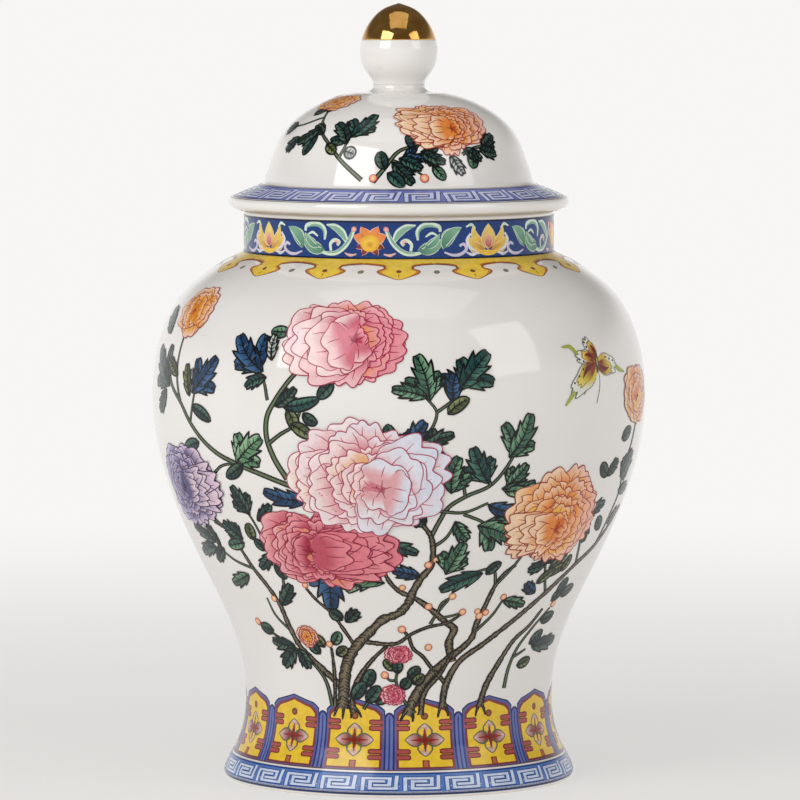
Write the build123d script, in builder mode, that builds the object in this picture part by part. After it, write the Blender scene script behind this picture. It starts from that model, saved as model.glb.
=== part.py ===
"""Lidded porcelain ginger jar: baluster body, domed lid with a locating ring, hollow knob.

All sizes are in millimetres. +Z is up, the jar stands on the XY plane and its axis is Z.
Every piece is turned, so each is a half-section in the XZ plane, revolved about Z.
A section curve always climbs in +Z, which puts the axis of the jar on its left.
"""

import os

from build123d import *

# Body, outside
FOOT_RADIUS = 94.5
FOOT_LIP_RADIUS = 95.3
FOOT_LIP_HEIGHT = 3.5
WAIST_RADIUS = 83.3
WAIST_HEIGHT = 44.0
BELLY_RADIUS = 134.0
BELLY_HEIGHT = 206.0
NECK_RADIUS = 84.0
NECK_BASE_HEIGHT = 286.0
MOUTH_HEIGHT = 308.5

# Body, inside and underneath
WALL = 5.5
NECK_WALL = 7.0
THROAT_LENGTH = 25.0
FLOOR_TOP = 14.0
FLOOR_CORNER_RADIUS = 8.0
RECESS_DEPTH = 6.0
RECESS_DRAFT = 3.0
FOOT_RING_WIDTH = 12.0
FOOT_FILLET = 1.0
MOUTH_FILLET = 1.6

# Lid: a flange that sits on the mouth, a ring that drops inside it, and a dome
FLANGE_EDGE_RADIUS = 91.4
FLANGE_EDGE_HEIGHT = 315.3
FLANGE_RIM_RADIUS = 92.3
FLANGE_RIM_HEIGHT = 312.6
FLANGE_LIP_RADIUS = 90.8
FLANGE_LIP_HEIGHT = 309.9
SEAT_RADIUS = 87.0
RING_CLEARANCE = 1.5
RING_WALL = 5.0
RING_DEPTH = 14.5
RING_FILLET = 1.2
DOME_FOOT_RADIUS = 75.0
DOME_FOOT_HEIGHT = 322.2
COVE = 2.4
DOME_WALL = 5.0
CROWN_RADIUS = 26.0
CROWN_HEIGHT = 371.4
VENT_RADIUS = 2.0

# Knob, luted to the crown of the dome, and the gold fired on its tip
KNOB_BASE_RADIUS = 14.0
KNOB_BASE_HEIGHT = 376.0
KNOB_RADIUS = 21.1
KNOB_HEIGHT = 394.0
KNOB_TOP = 420.0
KNOB_WALL = 4.5
GILDING_RADIUS = 20.1
GILDING_BOTTOM = 400.4
GILDING_THICKNESS = 0.2

# Headings of the section curves where one runs into the next
CROWN_HEADING = (-1.0, 0.22)
KNOB_FOOT_HEADING = (0.0, 1.0)
GILDING_EDGE_HEADING = (-0.27, 1.0)
KNOB_POINT_HEADING = (-1.0, 0.28)

PORCELAIN = Color(0.92, 0.91, 0.88)
GOLD = Color(0.80, 0.60, 0.22)

throat_radius = NECK_RADIUS - NECK_WALL
recess_radius = FOOT_RADIUS - FOOT_RING_WIDTH
ring_radius = throat_radius - RING_CLEARANCE
ring_inner_radius = ring_radius - RING_WALL
ring_bottom = MOUTH_HEIGHT - RING_DEPTH


def inset(curve, distance, stations, first=0.0, last=1.0):
    """Points at one distance from a section curve, on its left, where the hollow is."""
    points = []
    for i in range(stations + 1):
        along = first + (last - first) * i / stations
        heading = curve % along
        points.append(curve @ along + Vector(-heading.Y, heading.X) * distance)
    return points


# Outside of the body, from the lip of the foot to the base of the neck
body_outside = Spline(
    (FOOT_LIP_RADIUS, FOOT_LIP_HEIGHT),
    (89.8, 15.0),
    (84.6, 29.5),
    (WAIST_RADIUS, WAIST_HEIGHT),
    (87.0, 70.0),
    (96.5, 95.0),
    (110.0, 122.5),
    (122.0, 150.0),
    (130.6, 178.0),
    (BELLY_RADIUS, BELLY_HEIGHT),
    (130.4, 237.0),
    (121.0, 258.3),
    (108.6, 271.3),
    (97.0, 279.3),
    (NECK_RADIUS, NECK_BASE_HEIGHT),
    tangents=[(-0.25, 1.0), (-1.0, 0.5)],
)

# Outside of the dome, from the top of the cove to the crown
dome_outside = Spline(
    (DOME_FOOT_RADIUS - COVE, DOME_FOOT_HEIGHT + COVE),
    (69.7, 334.0),
    (64.8, 346.5),
    (55.5, 357.8),
    (42.0, 366.2),
    (CROWN_RADIUS, CROWN_HEIGHT),
    tangents=[(-0.2, 1.0), CROWN_HEADING],
)

# Outside of the knob below the gold, from its foot on the crown
knob_outside = Spline(
    (KNOB_BASE_RADIUS, KNOB_BASE_HEIGHT),
    (14.9, 379.0),
    (17.9, 383.0),
    (20.2, 388.0),
    (KNOB_RADIUS, KNOB_HEIGHT),
    (GILDING_RADIUS, GILDING_BOTTOM),
    tangents=[KNOB_FOOT_HEADING, GILDING_EDGE_HEADING],
)

# Outside of the gold, from its lower edge to the point of the knob
gilding_outside = Spline(
    (GILDING_RADIUS, GILDING_BOTTOM),
    (16.6, 408.6),
    (9.6, 416.2),
    (0.0, KNOB_TOP),
    tangents=[GILDING_EDGE_HEADING, KNOB_POINT_HEADING],
)

# The porcelain that the gold lies on, one gilding thickness under its outside
gilding_seat = Spline(
    *inset(gilding_outside, GILDING_THICKNESS, stations=6, last=0.9),
    (0.0, KNOB_TOP - GILDING_THICKNESS),
    tangents=[GILDING_EDGE_HEADING, KNOB_POINT_HEADING],
)

# Jar body: one hollow piece with a straight neck and a ring foot
with BuildPart() as jar_body:
    with BuildSketch(Plane.XZ):
        with BuildLine():
            add(body_outside)
            neck = FilletPolyline(
                body_outside @ 1,
                (NECK_RADIUS, MOUTH_HEIGHT),
                (throat_radius, MOUTH_HEIGHT),
                (throat_radius, MOUTH_HEIGHT - THROAT_LENGTH),
                radius=MOUTH_FILLET,
            )
            hollow = Spline(*inset(body_outside, WALL, stations=14, first=0.08, last=0.96))
            Spline(neck @ 1, hollow @ 1, tangents=[neck % 1, -(hollow % 1)])
            inner_floor = FilletPolyline(
                hollow @ 0,
                ((hollow @ 0).X, FLOOR_TOP),
                (0, FLOOR_TOP),
                radius=FLOOR_CORNER_RADIUS,
            )
            Line(inner_floor @ 1, (0, RECESS_DEPTH))
            FilletPolyline(
                (0, RECESS_DEPTH),
                (recess_radius - RECESS_DRAFT, RECESS_DEPTH),
                (recess_radius, 0),
                (FOOT_RADIUS, 0),
                body_outside @ 0,
                radius=FOOT_FILLET,
            )
        make_face()
    revolve(axis=Axis.Z)
jar_body.part.label = "jar_body"
jar_body.part.color = PORCELAIN

# Lid: flange, locating ring and dome in one piece, with a vent under the knob
with BuildPart() as lid:
    with BuildSketch(Plane.XZ):
        with BuildLine():
            add(dome_outside)
            flange_top = Line(
                (FLANGE_EDGE_RADIUS, FLANGE_EDGE_HEIGHT),
                (DOME_FOOT_RADIUS, DOME_FOOT_HEIGHT),
            )
            Spline(
                flange_top @ 1,
                dome_outside @ 0,
                tangents=[flange_top % 1, dome_outside % 0],
            )
            Spline(
                dome_outside @ 1,
                (KNOB_BASE_RADIUS, KNOB_BASE_HEIGHT),
                tangents=[CROWN_HEADING, KNOB_FOOT_HEADING],
            )
            hollow = Spline(
                *inset(dome_outside, DOME_WALL, stations=8),
                (VENT_RADIUS, CROWN_HEIGHT - DOME_WALL / 2),
            )
            Polyline(
                (KNOB_BASE_RADIUS, KNOB_BASE_HEIGHT),
                (VENT_RADIUS, KNOB_BASE_HEIGHT),
                hollow @ 1,
            )
            FilletPolyline(
                hollow @ 0,
                (ring_inner_radius, MOUTH_HEIGHT),
                (ring_inner_radius, ring_bottom),
                (ring_radius, ring_bottom),
                (ring_radius, MOUTH_HEIGHT),
                (SEAT_RADIUS, MOUTH_HEIGHT),
                (FLANGE_LIP_RADIUS, FLANGE_LIP_HEIGHT),
                radius=RING_FILLET,
            )
            ThreePointArc(
                (FLANGE_LIP_RADIUS, FLANGE_LIP_HEIGHT),
                (FLANGE_RIM_RADIUS, FLANGE_RIM_HEIGHT),
                (FLANGE_EDGE_RADIUS, FLANGE_EDGE_HEIGHT),
            )
        make_face()
    revolve(axis=Axis.Z)
lid.part.label = "lid"
lid.part.color = PORCELAIN

# Knob: cast hollow and open underneath, where the crown of the lid closes it
with BuildPart() as lid_knob:
    with BuildSketch(Plane.XZ):
        with BuildLine():
            add(knob_outside)
            add(gilding_seat)
            Line(knob_outside @ 1, gilding_seat @ 0)
            hollow = Spline(
                (KNOB_BASE_RADIUS - KNOB_WALL, KNOB_BASE_HEIGHT),
                *inset(knob_outside, KNOB_WALL, stations=4, first=0.3),
                *inset(gilding_outside, KNOB_WALL, stations=2, first=0.25, last=0.75),
                (0.0, KNOB_TOP - 1.2 * KNOB_WALL),
            )
            Line(hollow @ 0, knob_outside @ 0)
            Line(hollow @ 1, gilding_seat @ 1)
        make_face()
    revolve(axis=Axis.Z)
lid_knob.part.label = "lid_knob"
lid_knob.part.color = PORCELAIN

# Gilding: the layer of gold fired on the tip of the knob
with BuildPart() as knob_gilding:
    with BuildSketch(Plane.XZ):
        with BuildLine():
            add(gilding_outside)
            add(gilding_seat)
            Line(gilding_outside @ 0, gilding_seat @ 0)
            Line(gilding_outside @ 1, gilding_seat @ 1)
        make_face()
    revolve(axis=Axis.Z)
knob_gilding.part.label = "knob_gilding"
knob_gilding.part.color = GOLD

os.makedirs("parts", exist_ok=True)
export_step(jar_body.part, "parts/jar_body.step")
export_step(lid.part, "parts/lid.step")
export_step(lid_knob.part, "parts/lid_knob.step")
export_step(knob_gilding.part, "parts/knob_gilding.step")
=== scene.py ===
"""A lidded porcelain ginger jar, glazed and painted in enamels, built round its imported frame.

The jar stands on its foot with the axis on Z and its painted front towards -Y. Places on a wall are given
as (angle, up): degrees round the axis, 0 at the front and positive towards +X, and millimetres up the wall,
counted along its curve from its lowest edge. Drawings are made flat in millimetres, as complex numbers with
x round the wall and y up it, and are then laid on the wall a hair above the glaze, one coat over another.
"""

import math

import bmesh
import bpy
import numpy as np
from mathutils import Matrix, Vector


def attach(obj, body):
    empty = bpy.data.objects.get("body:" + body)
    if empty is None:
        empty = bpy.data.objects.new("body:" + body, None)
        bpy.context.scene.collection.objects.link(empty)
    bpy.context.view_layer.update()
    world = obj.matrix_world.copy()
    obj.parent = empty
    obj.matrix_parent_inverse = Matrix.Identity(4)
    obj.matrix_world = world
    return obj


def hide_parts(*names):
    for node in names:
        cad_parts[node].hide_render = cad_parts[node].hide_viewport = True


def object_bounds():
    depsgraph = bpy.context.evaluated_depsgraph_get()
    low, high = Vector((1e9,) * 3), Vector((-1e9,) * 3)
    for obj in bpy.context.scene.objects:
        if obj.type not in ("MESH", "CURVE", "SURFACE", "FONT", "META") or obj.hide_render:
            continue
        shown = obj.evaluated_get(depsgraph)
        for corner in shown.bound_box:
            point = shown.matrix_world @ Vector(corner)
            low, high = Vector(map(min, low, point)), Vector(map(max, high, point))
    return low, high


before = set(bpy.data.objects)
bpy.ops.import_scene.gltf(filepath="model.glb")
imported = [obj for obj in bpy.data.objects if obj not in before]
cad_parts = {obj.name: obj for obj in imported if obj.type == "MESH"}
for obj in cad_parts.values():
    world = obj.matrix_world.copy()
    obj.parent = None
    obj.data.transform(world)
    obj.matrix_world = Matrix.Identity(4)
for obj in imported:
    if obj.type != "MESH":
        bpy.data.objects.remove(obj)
cad_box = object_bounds()

MM = 0.001
COAT = 0.014            # one coat of enamel, mm
FIRST_COAT = 0.03       # how far the first coat stands above the glaze, mm
SIDES = 208             # facets round a turned piece
KNOB_SIDES = 144        # and round the small ones
NECK_RADIUS = 84        # mm, as NECK_FOOT and NECK_TOP, which are places up the wall
NECK_FOOT = 319.0
NECK_TOP = 338.6
FOOT_PANELS = 14        # arched panels round the foot
PANEL_FOOT = 15.6       # where the panels begin, mm up the wall
ROOM = "F7F6F4"         # the pale light round the jar


# ---------------------------------------------------------------- colour

def enamel(code):
    """A colour in linear light, from its six-figure hexadecimal code; one in linear light already stays."""
    if not isinstance(code, str):
        return code
    shares = np.array([int(code[i:i + 2], 16) / 255 for i in (0, 2, 4)])
    return np.where(shares <= 0.04045, shares / 12.92, ((shares + 0.055) / 1.055) ** 2.4)


def blend(first, second, share):
    """Colours from first to second, one for each share between 0 and 1."""
    first, second = enamel(first), enamel(second)
    share = np.clip(np.asarray(share, float), 0, 1)[..., None]
    return first * (1 - share) + second * share


# ---------------------------------------------------------------- curves

def smooth(points, step):
    """The points of a smooth open curve with more added, so that none are further apart than step."""
    points = np.asarray(points, complex)
    gaps = np.abs(np.diff(points))
    slopes = np.diff(points) / gaps
    ways = np.concatenate([slopes[:1], slopes])
    ways[1:-1] = (slopes[:-1] * gaps[1:] + slopes[1:] * gaps[:-1]) / (gaps[:-1] + gaps[1:])
    stretches = []
    for i, gap in enumerate(gaps):
        count = max(1, math.ceil(gap / step))
        t = np.arange(count) / count
        leaving = (2 * t ** 3 - 3 * t ** 2 + 1) * points[i] + (t ** 3 - 2 * t ** 2 + t) * gap * ways[i]
        reaching = (3 * t ** 2 - 2 * t ** 3) * points[i + 1] + (t ** 3 - t ** 2) * gap * ways[i + 1]
        stretches.append(leaving + reaching)
    return np.concatenate(stretches + [points[-1:]])


def cornered(points, step, sharpest=9, longest=8):
    """The same for a curve with corners and long flats: the stretches between them are smooth."""
    points = np.asarray(points, complex)
    bends = np.diff(points)[1:] / np.diff(points)[:-1]
    corner = np.abs(np.degrees(np.angle(bends))) > sharpest
    beside_flat = np.abs(np.log(np.abs(bends))) > math.log(longest)
    corners = [0, *(np.nonzero(corner | beside_flat)[0] + 1), len(points) - 1]
    stretches = [smooth(points[a:b + 1], step)[:-1] for a, b in zip(corners, corners[1:])]
    return np.concatenate(stretches + [points[-1:]])


def evened(path, count):
    """A path again as a number of points an equal way apart."""
    along = np.concatenate([[0], np.cumsum(np.abs(np.diff(path)))])
    return np.interp(np.linspace(0, along[-1], count), along, path)


# ---------------------------------------------------------------- the shapes of the CAD pieces

def section(name):
    """The half-section of a turned CAD piece: a chain of radius + 1j * height, in mm."""
    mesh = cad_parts[name].data
    seam = {}
    for vertex in mesh.vertices:
        if abs(vertex.co.y) < 1e-7 and vertex.co.x > -1e-7:
            seam[vertex.index] = complex(round(vertex.co.x / MM, 3), round(vertex.co.z / MM, 3))
    links = {}
    for edge in mesh.edges:
        a, b = (seam.get(i) for i in edge.vertices)
        if a is not None and b is not None and a != b:
            links.setdefault(a, set()).add(b)
            links.setdefault(b, set()).add(a)
    ends = [point for point in links if len(links[point]) == 1]
    chain = [min(ends or links, key=lambda point: (point.imag, point.real))]
    while len(chain) < len(links):
        onward = links[chain[-1]].difference(chain[-2:])
        chain.append(max(onward, key=lambda point: point.real))
    if not ends:
        return np.array(chain + chain[:1])
    if chain[0].real > 0.01:
        chain.insert(0, 1j * chain[0].imag)
    if chain[-1].real > 0.01:
        chain.append(1j * chain[-1].imag)
    return np.array(chain)


class Wall:
    """The outside of a turned piece, where it is painted."""

    def __init__(self, chain, low, high):
        first, last = (int(np.argmin(np.abs(chain - end))) for end in (low, high))
        self.line = cornered(chain[first:last + 1] if first < last else chain[last:first + 1][::-1], 0.5)
        self.ups = np.concatenate([[0], np.cumsum(np.abs(np.diff(self.line)))])
        out = np.gradient(self.line) * -1j
        self.out = out / np.abs(out)

    def radius(self, up):
        """How far the wall is from the axis, mm."""
        return np.interp(up, self.ups, self.line.real)

    def place(self, angle, up, lift):
        """Places lift millimetres above the glaze, in metres, and the directions out of the wall there."""
        out = np.interp(up, self.ups, self.out)
        spot = np.interp(up, self.ups, self.line) + out * lift
        turn = np.radians(angle)
        places = np.stack([spot.real * np.sin(turn), -spot.real * np.cos(turn), spot.imag], -1) * MM
        return places, np.stack([out.real * np.sin(turn), -out.real * np.cos(turn), out.imag], -1)


# ---------------------------------------------------------------- node trees

def new_tree(name, **inputs):
    """A geometry tree with named inputs of the given kinds, and its two end nodes."""
    tree = bpy.data.node_groups.new(name, "GeometryNodeTree")
    tree.interface.new_socket("Geometry", in_out="INPUT", socket_type="NodeSocketGeometry")
    for label, kind in inputs.items():
        tree.interface.new_socket(label, in_out="INPUT", socket_type="NodeSocket" + kind)
    tree.interface.new_socket("Geometry", in_out="OUTPUT", socket_type="NodeSocketGeometry")
    return tree, tree.nodes.new("NodeGroupInput").outputs, tree.nodes.new("NodeGroupOutput").inputs


def add_node(tree, kind, inputs=None, **settings):
    """A node with its settings made and its inputs linked to a socket or set to a value."""
    made = tree.nodes.new(kind)
    for key, value in settings.items():
        setattr(made, key, value)
    for key, source in (inputs or {}).items():
        if isinstance(source, bpy.types.NodeSocket):
            tree.links.new(source, made.inputs[key])
        else:
            made.inputs[key].default_value = source
    return made


def math_node(tree, operation, first, second=0.0):
    """The result of one sum on two values."""
    return add_node(tree, "ShaderNodeMath", {0: first, 1: second}, operation=operation).outputs[0]


def end_tree(tree, geometry, material, finished):
    """Ends a geometry tree: everything is made real and takes its material."""
    whole = add_node(tree, "GeometryNodeRealizeInstances", {"Geometry": geometry})
    coated = add_node(tree, "GeometryNodeSetMaterial", {"Geometry": whole.outputs[0], "Material": material})
    tree.links.new(coated.outputs[0], finished[0])


def turning_tree():
    """Turns a half-section, given as a row of points (radius, 0, height), into a closed skin."""
    tree, given, finished = new_tree("turn_section", Sides="Int", Material="Material")
    rows = add_node(tree, "GeometryNodeAttributeDomainSize", {0: given["Geometry"]}).outputs["Point Count"]
    grid = add_node(tree, "GeometryNodeMeshGrid",
                    {"Vertices X": math_node(tree, "ADD", given["Sides"], 1.0), "Vertices Y": rows})
    index = add_node(tree, "GeometryNodeInputIndex").outputs[0]
    column = math_node(tree, "FLOOR", math_node(tree, "DIVIDE", math_node(tree, "ADD", index, 0.5), rows))
    row = math_node(tree, "SUBTRACT", index, math_node(tree, "MULTIPLY", column, rows))
    place = add_node(tree, "GeometryNodeInputPosition").outputs[0]
    sample = add_node(tree, "GeometryNodeSampleIndex",
                      {0: given["Geometry"]}, data_type="FLOAT_VECTOR", domain="POINT")
    tree.links.new(place, sample.inputs["Value"])
    tree.links.new(row, sample.inputs["Index"])
    step = math_node(tree, "DIVIDE", 2 * math.pi, given["Sides"])
    turned = add_node(tree, "ShaderNodeVectorRotate", {"Vector": sample.outputs[0],
                      "Angle": math_node(tree, "MULTIPLY", column, step)}, rotation_type="Z_AXIS")
    skin = add_node(tree, "GeometryNodeSetPosition",
                    {"Geometry": grid.outputs[0], "Position": turned.outputs[0]})
    sewn = add_node(tree, "GeometryNodeMergeByDistance", {"Geometry": skin.outputs[0], "Distance": 1e-6})
    shaded = add_node(tree, "GeometryNodeSetShadeSmooth", {"Geometry": sewn.outputs[0]})
    end_tree(tree, shaded.outputs[0], given["Material"], finished)
    return tree


def repeating_tree():
    """Repeats one painted unit round the axis of the jar and sews the copies together."""
    tree, given, finished = new_tree("repeat_round_axis", Repeats="Int", Start="Float", Material="Material")
    points = add_node(tree, "GeometryNodePoints", {"Count": given["Repeats"]})
    step = math_node(tree, "DIVIDE", 2 * math.pi, given["Repeats"])
    index = add_node(tree, "GeometryNodeInputIndex").outputs[0]
    angle = math_node(tree, "ADD", math_node(tree, "MULTIPLY", index, step), given["Start"])
    turn = add_node(tree, "ShaderNodeCombineXYZ", {"Z": angle})
    copies = add_node(tree, "GeometryNodeInstanceOnPoints", {
        "Points": points.outputs[0], "Instance": given["Geometry"], "Rotation": turn.outputs[0]})
    whole = add_node(tree, "GeometryNodeRealizeInstances", {"Geometry": copies.outputs[0]})
    sewn = add_node(tree, "GeometryNodeMergeByDistance", {"Geometry": whole.outputs[0], "Distance": 1e-6})
    end_tree(tree, sewn.outputs[0], given["Material"], finished)
    return tree


def taken_through(tree, mesh, name, **inputs):
    """A mesh taken through a geometry tree: a plain mesh object with no modifier left on it."""
    source = bpy.data.objects.new(name + "_source", mesh)
    bpy.context.scene.collection.objects.link(source)
    modifier = source.modifiers.new(tree.name, "NODES")
    modifier.node_group = tree
    for item in tree.interface.items_tree:
        if item.name in inputs:
            modifier[item.identifier] = inputs[item.name]
    result = bpy.data.meshes.new_from_object(source.evaluated_get(bpy.context.evaluated_depsgraph_get()))
    bpy.data.objects.remove(source)
    bpy.data.meshes.remove(mesh)
    result.name = name
    piece = bpy.data.objects.new(name, result)
    bpy.context.scene.collection.objects.link(piece)
    return piece


# ---------------------------------------------------------------- materials

def new_material(name, **values):
    """A material with constants set on its shader: the tree, the shader and the place on the object."""
    material = bpy.data.materials.new(name)
    material.use_nodes = True
    tree = material.node_tree
    shader = tree.nodes["Principled BSDF"]
    for label, value in values.items():
        shader.inputs[label.replace("_", " ")].default_value = value
    return material, tree, shader, add_node(tree, "ShaderNodeTexCoord").outputs["Object"]


def ramp(tree, value, start, end, low, high, **settings):
    """A value carried from start to end over to low to high, and held beyond them."""
    ends = {"From Min": start, "From Max": end, "To Min": low, "To Max": high}
    return add_node(tree, "ShaderNodeMapRange", {"Value": value, **ends}, **settings).outputs[0]


def noise(tree, place, scale, detail=3.0, low=0.0, high=1.0):
    """Soft noise that runs from low to high."""
    raw = add_node(tree, "ShaderNodeTexNoise", {"Vector": place, "Scale": scale, "Detail": detail})
    return ramp(tree, raw.outputs[0], 0.3, 0.7, low, high)


def mixed(tree, share, first, second):
    """A colour between two, by a share."""
    mix = add_node(tree, "ShaderNodeMix", {0: share}, data_type="RGBA")
    mix.inputs[6].default_value = (*enamel(first), 1)
    mix.inputs[7].default_value = (*enamel(second), 1)
    return mix.outputs[2]


def scaled(tree, colour, factor):
    """A colour made lighter or darker by a factor."""
    scaling = add_node(tree, "ShaderNodeVectorMath", {0: colour}, operation="SCALE")
    tree.links.new(factor, scaling.inputs["Scale"])
    return scaling.outputs[0]


def finish_shader(tree, shader, colour, roughness, height, depth):
    """Links a shader's colour and roughness, and the relief that bends its highlights."""
    tree.links.new(colour, shader.inputs["Base Color"])
    tree.links.new(roughness, shader.inputs["Roughness"])
    bump = add_node(tree, "ShaderNodeBump", {"Height": height, "Distance": depth})
    tree.links.new(bump.outputs[0], shader.inputs["Normal"])


def glaze_material():
    """Clear glaze on white porcelain: faint clouding, rare iron specks and slow waves from the firing."""
    material, tree, shader, place = new_material("porcelain_glaze", Coat_Weight=0.5, Coat_Roughness=0.03)
    body = mixed(tree, noise(tree, place, 14), "E8E4E0", "EEEBE8")
    speck = add_node(tree, "ShaderNodeTexVoronoi", {"Vector": place, "Scale": 45.0}).outputs["Distance"]
    edge = ramp(tree, speck, 0.012, 0.03, 0.6, 1.0)
    waves = math_node(tree, "ADD", noise(tree, place, 20, 1.0), noise(tree, place, 500, 2.0, 0.0, 0.015))
    finish_shader(tree, shader, scaled(tree, body, edge), noise(tree, place, 60, 3.0, 0.06, 0.13),
                  waves, 0.0003)
    return material


def biscuit_material():
    """Bare fired porcelain, where the jar stands and where the lid sits."""
    material, tree, shader, place = new_material("bare_biscuit", IOR=1.4)
    body = mixed(tree, noise(tree, place, 90), "C9BBA2", "DDD2C0")
    finish_shader(tree, shader, body, noise(tree, place, 400, 3.0, 0.6, 0.8),
                  noise(tree, place, 1500), 0.0001)
    return material


def enamel_material():
    """Enamels over the glaze in the painted colours, pooled a little unevenly."""
    material, tree, shader, place = new_material("painted_enamel", IOR=1.3,
                                                 Coat_Weight=0.25, Coat_Roughness=0.06)
    paint = add_node(tree, "ShaderNodeAttribute", attribute_name="paint").outputs["Color"]
    pooled = scaled(tree, paint, noise(tree, place, 260, 4.0, 0.86, 1.02))
    relief = math_node(tree, "ADD", noise(tree, place, 20, 1.0), noise(tree, place, 700, 2.0, 0.0, 0.05))
    finish_shader(tree, shader, pooled, noise(tree, place, 500, 3.0, 0.10, 0.22), relief, 0.0003)
    return material


def gold_material():
    """Bright fired gold, rubbed a little thin in places."""
    material, tree, shader, place = new_material("fired_gold", Metallic=1.0)
    body = mixed(tree, noise(tree, place, 120, 4.0), "C08A44", "E0B468")
    finish_shader(tree, shader, body, noise(tree, place, 300, 3.0, 0.05, 0.11),
                  noise(tree, place, 160, 2.0), 0.00005)
    return material


def floor_material():
    """The plain pale floor, which turns into the room's own pale light as it runs out."""
    material, tree, shader, place = new_material("pale_floor", IOR=1.3)
    body = mixed(tree, noise(tree, place, 3), "E6E4E0", "E9E7E3")
    finish_shader(tree, shader, body, noise(tree, place, 8, 3.0, 0.55, 0.65),
                  noise(tree, place, 300), 0.00005)
    far = add_node(tree, "ShaderNodeVectorMath", {0: place}, operation="LENGTH").outputs["Value"]
    share = ramp(tree, far, 0.1, 1.5, 0.6, 1.0, interpolation_type="SMOOTHSTEP")
    glow = add_node(tree, "ShaderNodeEmission", {"Color": (*enamel(ROOM), 1)})
    mix = add_node(tree, "ShaderNodeMixShader", {0: share, 1: shader.outputs[0], 2: glow.outputs[0]})
    tree.links.new(mix.outputs[0], tree.nodes["Material Output"].inputs["Surface"])
    return material


GLAZE = glaze_material()
BISCUIT = biscuit_material()
ENAMEL = enamel_material()
GOLD = gold_material()

# ---------------------------------------------------------------- painting on a wall

class Painting:
    """Coats of enamel on one wall, gathered into one mesh."""

    def __init__(self, wall):
        self.wall = wall
        self.turn, self.way = 0, 1
        self.places, self.outs, self.colours, self.quads = [], [], [], []
        self.count = 0

    def face(self, side):
        """Turns the painting to the front, side 0, or mirrored to the back, side 1."""
        self.turn, self.way = ((0, 1), (180, -1))[side]

    def net(self, angle, up, level, colours):
        """A net of rows and columns of (angle, up) in one coat, in one colour or one for each place."""
        angle, up = np.broadcast_arrays(np.asarray(angle, float), np.asarray(up, float))
        rows, columns = angle.shape
        places, outs = self.wall.place(self.turn + self.way * angle, up, FIRST_COAT + COAT * level)
        self.places.append(places.reshape(-1, 3))
        self.outs.append(outs.reshape(-1, 3))
        self.colours.append(np.broadcast_to(enamel(colours), (rows, columns, 3)).reshape(-1, 3))
        numbers = self.count + np.arange(rows * columns).reshape(rows, columns)
        corners = (numbers[:-1, :-1], numbers[:-1, 1:], numbers[1:, 1:], numbers[1:, :-1])
        self.quads.append(np.stack(corners, -1).reshape(-1, 4))
        self.count += rows * columns

    def flat(self, anchor, points):
        """Flat places for a list of (angle, up), drawn round the anchor's angle."""
        angle, up = np.asarray(points, float).T
        return np.radians(angle - anchor) * self.wall.radius(up) + 1j * up

    def sheet(self, anchor, points, level, colours):
        """A flat sheet, rows by columns of complex places, laid on the wall round the anchor's angle."""
        angle = anchor + np.degrees(points.real / self.wall.radius(points.imag))
        self.net(angle, points.imag, level, colours)

    def mesh(self, name):
        """The whole painting as a mesh that faces outwards, with its colours in the attribute paint."""
        places, outs, quads = (np.concatenate(parts) for parts in (self.places, self.outs, self.quads))
        across, along = places[quads[:, 2]] - places[quads[:, 0]], places[quads[:, 3]] - places[quads[:, 1]]
        inward = np.einsum("ij,ij->i", np.cross(across, along), outs[quads[:, 0]]) < 0
        quads[inward] = quads[inward, ::-1]
        mesh = bpy.data.meshes.new(name)
        mesh.from_pydata(places.tolist(), [], quads.tolist())
        paint = mesh.attributes.new("paint", "FLOAT_COLOR", "POINT")
        colours = np.concatenate(self.colours)
        paint.data.foreach_set("color", np.column_stack([colours, np.ones(len(colours))]).ravel())
        edited = bmesh.new()
        edited.from_mesh(mesh)
        bmesh.ops.remove_doubles(edited, verts=edited.verts, dist=2e-7)
        bmesh.ops.dissolve_degenerate(edited, edges=edited.edges, dist=2e-7)
        for face in edited.faces:
            face.smooth = True
        edited.to_mesh(mesh)
        edited.free()
        return mesh


def offsets(path):
    """Sideways unit steps along a path, lengthened at its corners so that a line keeps its width."""
    steps = np.diff(path)
    sides = 1j * steps / np.abs(steps)
    joined = sides[:-1] + sides[1:]
    joined = joined / np.maximum(1 + (sides[:-1] * sides[1:].conj()).real, 0.5)
    return np.concatenate([sides[:1], joined, sides[-1:]])


def divided(path, step=2.0):
    """A path with points added along its longer stretches, and how far along the path each one is."""
    counts = np.maximum(1, np.ceil(np.abs(np.diff(path)) / step)).astype(int)
    stretches = [i + np.arange(count) / count for i, count in enumerate(counts)]
    along = np.concatenate([*stretches, [len(path) - 1]])
    return np.interp(along, np.arange(len(path)), path), along / (len(path) - 1)


def stroke(painting, anchor, path, widths, level, colours):
    """A line of one or more widths along a path; several colours lie side by side across it."""
    colours = np.atleast_2d(enamel(colours))
    if len(colours) == 1:
        colours = np.repeat(colours, 2 + int(np.max(widths) / 2.2), 0)
    path, along = divided(np.asarray(path))
    widths = np.interp(along, np.linspace(0, 1, np.size(widths)), np.atleast_1d(widths))
    points = path[:, None] + (offsets(path) * widths)[:, None] * np.linspace(-0.5, 0.5, len(colours))
    painting.sheet(anchor, points, level, colours[None, :, :])


def disc(painting, anchor, centre, across, tall, level, inner, outer, points):
    """A round or oval dab from one colour at its centre to another at its rim."""
    round_it = np.exp(1j * np.linspace(0, 2 * np.pi, points + 1))
    rim = round_it.real * across + 1j * round_it.imag * tall
    rings = np.array([0.0, 0.55, 1.0])
    painting.sheet(anchor, centre + rings[:, None] * rim[None, :], level,
                   np.repeat(blend(inner, outer, rings)[:, None], points + 1, 1))


# ---------------------------------------------------------------- the turned pieces

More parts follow.
